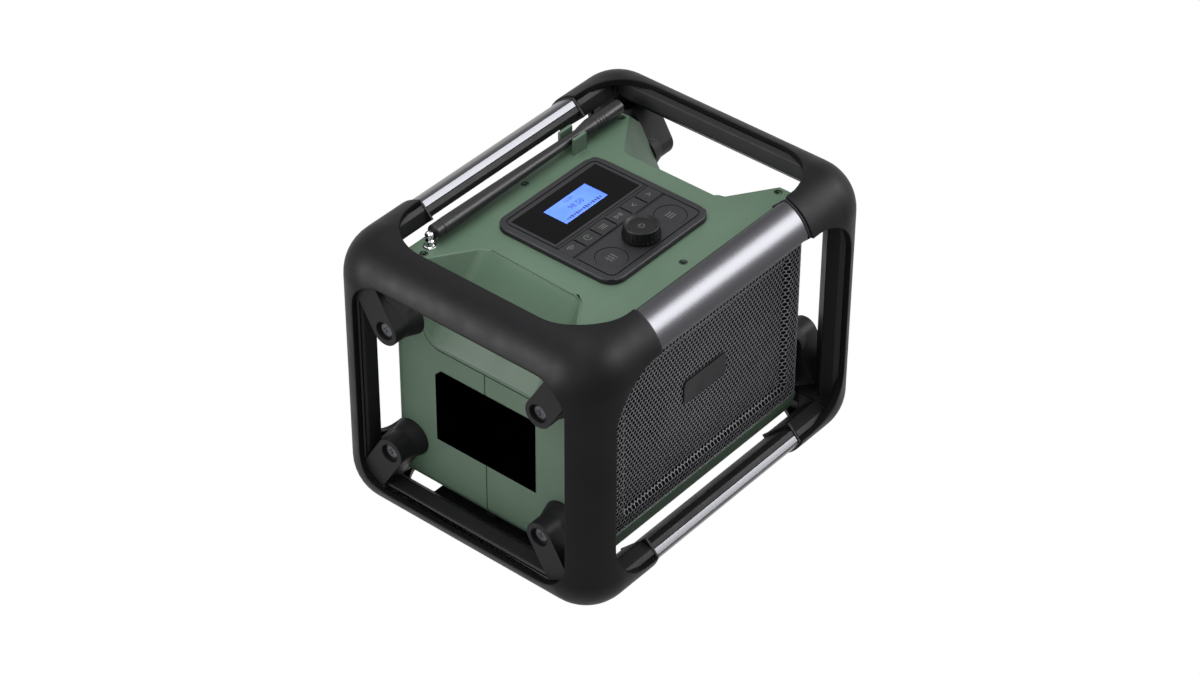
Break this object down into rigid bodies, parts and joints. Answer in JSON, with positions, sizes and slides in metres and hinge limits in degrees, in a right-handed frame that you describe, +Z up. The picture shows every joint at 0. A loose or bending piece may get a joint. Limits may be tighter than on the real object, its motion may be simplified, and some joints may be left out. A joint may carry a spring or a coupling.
{
  "type": "rugged portable internet radio",
  "caption": "Box-shaped portable internet radio carried between two rounded black end frames with metal corner bars, a top control panel with dial, keys and display, and a folding antenna.",
  "frame": {"origin": "middle of the footprint, on the surface the feet rest on", "axes": "+X along the length towards the right end, -Y towards the front grille, +Z up"},
  "size_m": [0.302, 0.235, 0.227],
  "materials": {
    "soft_black": "soft-touch moulded skin",
    "core_black": "matt moulded plastic",
    "bar_metal": "brushed and anodised",
    "green_plastic": "fine-grained moulded plastic",
    "grille_black": "perforated sheet, black paint",
    "plate_black": "smooth",
    "panel_black": "fine-grained moulded plastic",
    "window": "tinted, polished",
    "display": "lit display",
    "key_black": "matt",
    "knob_black": "matt with gloss rim",
    "chrome": "polished",
    "board_green": "circuit board",
    "steel": "machined",
    "antenna_rubber": "ribbed sleeve",
    "foot_rubber": "soft rubber"
  },
  "bodies": {
    "chassis": {"left_frame_skin": "soft_black", "right_frame_skin": "soft_black", "left_frame_core": "core_black", "right_frame_core": "core_black", "front_top_bar": "bar_metal", "front_bottom_bar": "bar_metal", "rear_top_bar": "bar_metal", "rear_bottom_bar": "bar_metal", "front_top_liner": "core_black", "front_bottom_liner": "core_black", "rear_top_liner": "core_black", "rear_bottom_liner": "core_black", "top_cover": "green_plastic", "front_shell": "green_plastic", "rear_shell": "green_plastic", "grille": "grille_black", "name_plate": "plate_black", "rating_plate": "plate_black", "control_panel": "panel_black", "display_window": "window", "display_module": "display", "encoder_body": "steel", "key_board": "board_green", "antenna_post": "chrome", "antenna_pin": "chrome", "left_speaker": "steel", "right_speaker": "steel", "main_board": "board_green", "power_unit": "steel", "battery_pack": "core_black", "socket_plate": "panel_black", "foot_pads": "foot_rubber", "frame_screws": "steel", "cover_screws": "steel"},
    "key_1": {"key_1": "key_black"},
    "key_2": {"key_2": "key_black"},
    "key_3": {"key_3": "key_black"},
    "key_4": {"key_4": "key_black"},
    "key_5": {"key_5": "key_black"},
    "key_6": {"key_6": "key_black"},
    "left_button": {"left_button": "key_black"},
    "right_button": {"right_button": "key_black"},
    "dial_rotor": {"encoder_rotor": "steel"},
    "dial": {"knob": "knob_black", "encoder_shaft": "steel"},
    "antenna": {"antenna_tongue": "chrome", "antenna_rod": "antenna_rubber"},
    "door": {"battery_door": "green_plastic", "door_catch": "panel_black"},
    "flap": {"socket_flap": "foot_rubber"}
  },
  "joints": [
    {"name": "key_1_press", "type": "slide", "parent": "chassis", "child": "key_1", "axis": [0, 0, -1], "range_m": [0, 0.0005], "stiffness_N_per_m": 800},
    {"name": "key_2_press", "type": "slide", "parent": "chassis", "child": "key_2", "axis": [0, 0, -1], "range_m": [0, 0.0005], "stiffness_N_per_m": 800},
    {"name": "key_3_press", "type": "slide", "parent": "chassis", "child": "key_3", "axis": [0, 0, -1], "range_m": [0, 0.0005], "stiffness_N_per_m": 800},
    {"name": "key_4_press", "type": "slide", "parent": "chassis", "child": "key_4", "axis": [0, 0, -1], "range_m": [0, 0.0005], "stiffness_N_per_m": 800},
    {"name": "key_5_press", "type": "slide", "parent": "chassis", "child": "key_5", "axis": [0, 0, -1], "range_m": [0, 0.0005], "stiffness_N_per_m": 800},
    {"name": "key_6_press", "type": "slide", "parent": "chassis", "child": "key_6", "axis": [0, 0, -1], "range_m": [0, 0.0005], "stiffness_N_per_m": 800},
    {"name": "left_button_press", "type": "slide", "parent": "chassis", "child": "left_button", "axis": [0, 0, -1], "range_m": [0, 0.0005], "stiffness_N_per_m": 800},
    {"name": "right_button_press", "type": "slide", "parent": "chassis", "child": "right_button", "axis": [0, 0, -1], "range_m": [0, 0.0005], "stiffness_N_per_m": 800},
    {"name": "dial_turn", "type": "hinge", "parent": "chassis", "child": "dial_rotor", "pos_m": [0, -0.033, 0.2101], "axis": [0, 0, 1], "continuous": true},
    {"name": "dial_press", "type": "slide", "parent": "dial_rotor", "child": "dial", "axis": [0, 0, -1], "range_m": [0, 0.0005], "stiffness_N_per_m": 900},
    {"name": "antenna_fold", "type": "hinge", "parent": "chassis", "child": "antenna", "pos_m": [-0.0947, 0.0713, 0.2147], "axis": [0, -1, 0], "range_deg": [0, 90]},
    {"name": "door_open", "type": "hinge", "parent": "chassis", "child": "door", "pos_m": [-0.045, 0.08035, 0.05635], "axis": [-1, 0, 0], "range_deg": [0, 95]},
    {"name": "flap_open", "type": "hinge", "parent": "chassis", "child": "flap", "pos_m": [0.08, 0.0808, 0.1008], "axis": [-1, 0, 0], "range_deg": [0, 95], "stiffness_Nm_per_rad": 0.002}
  ]
}
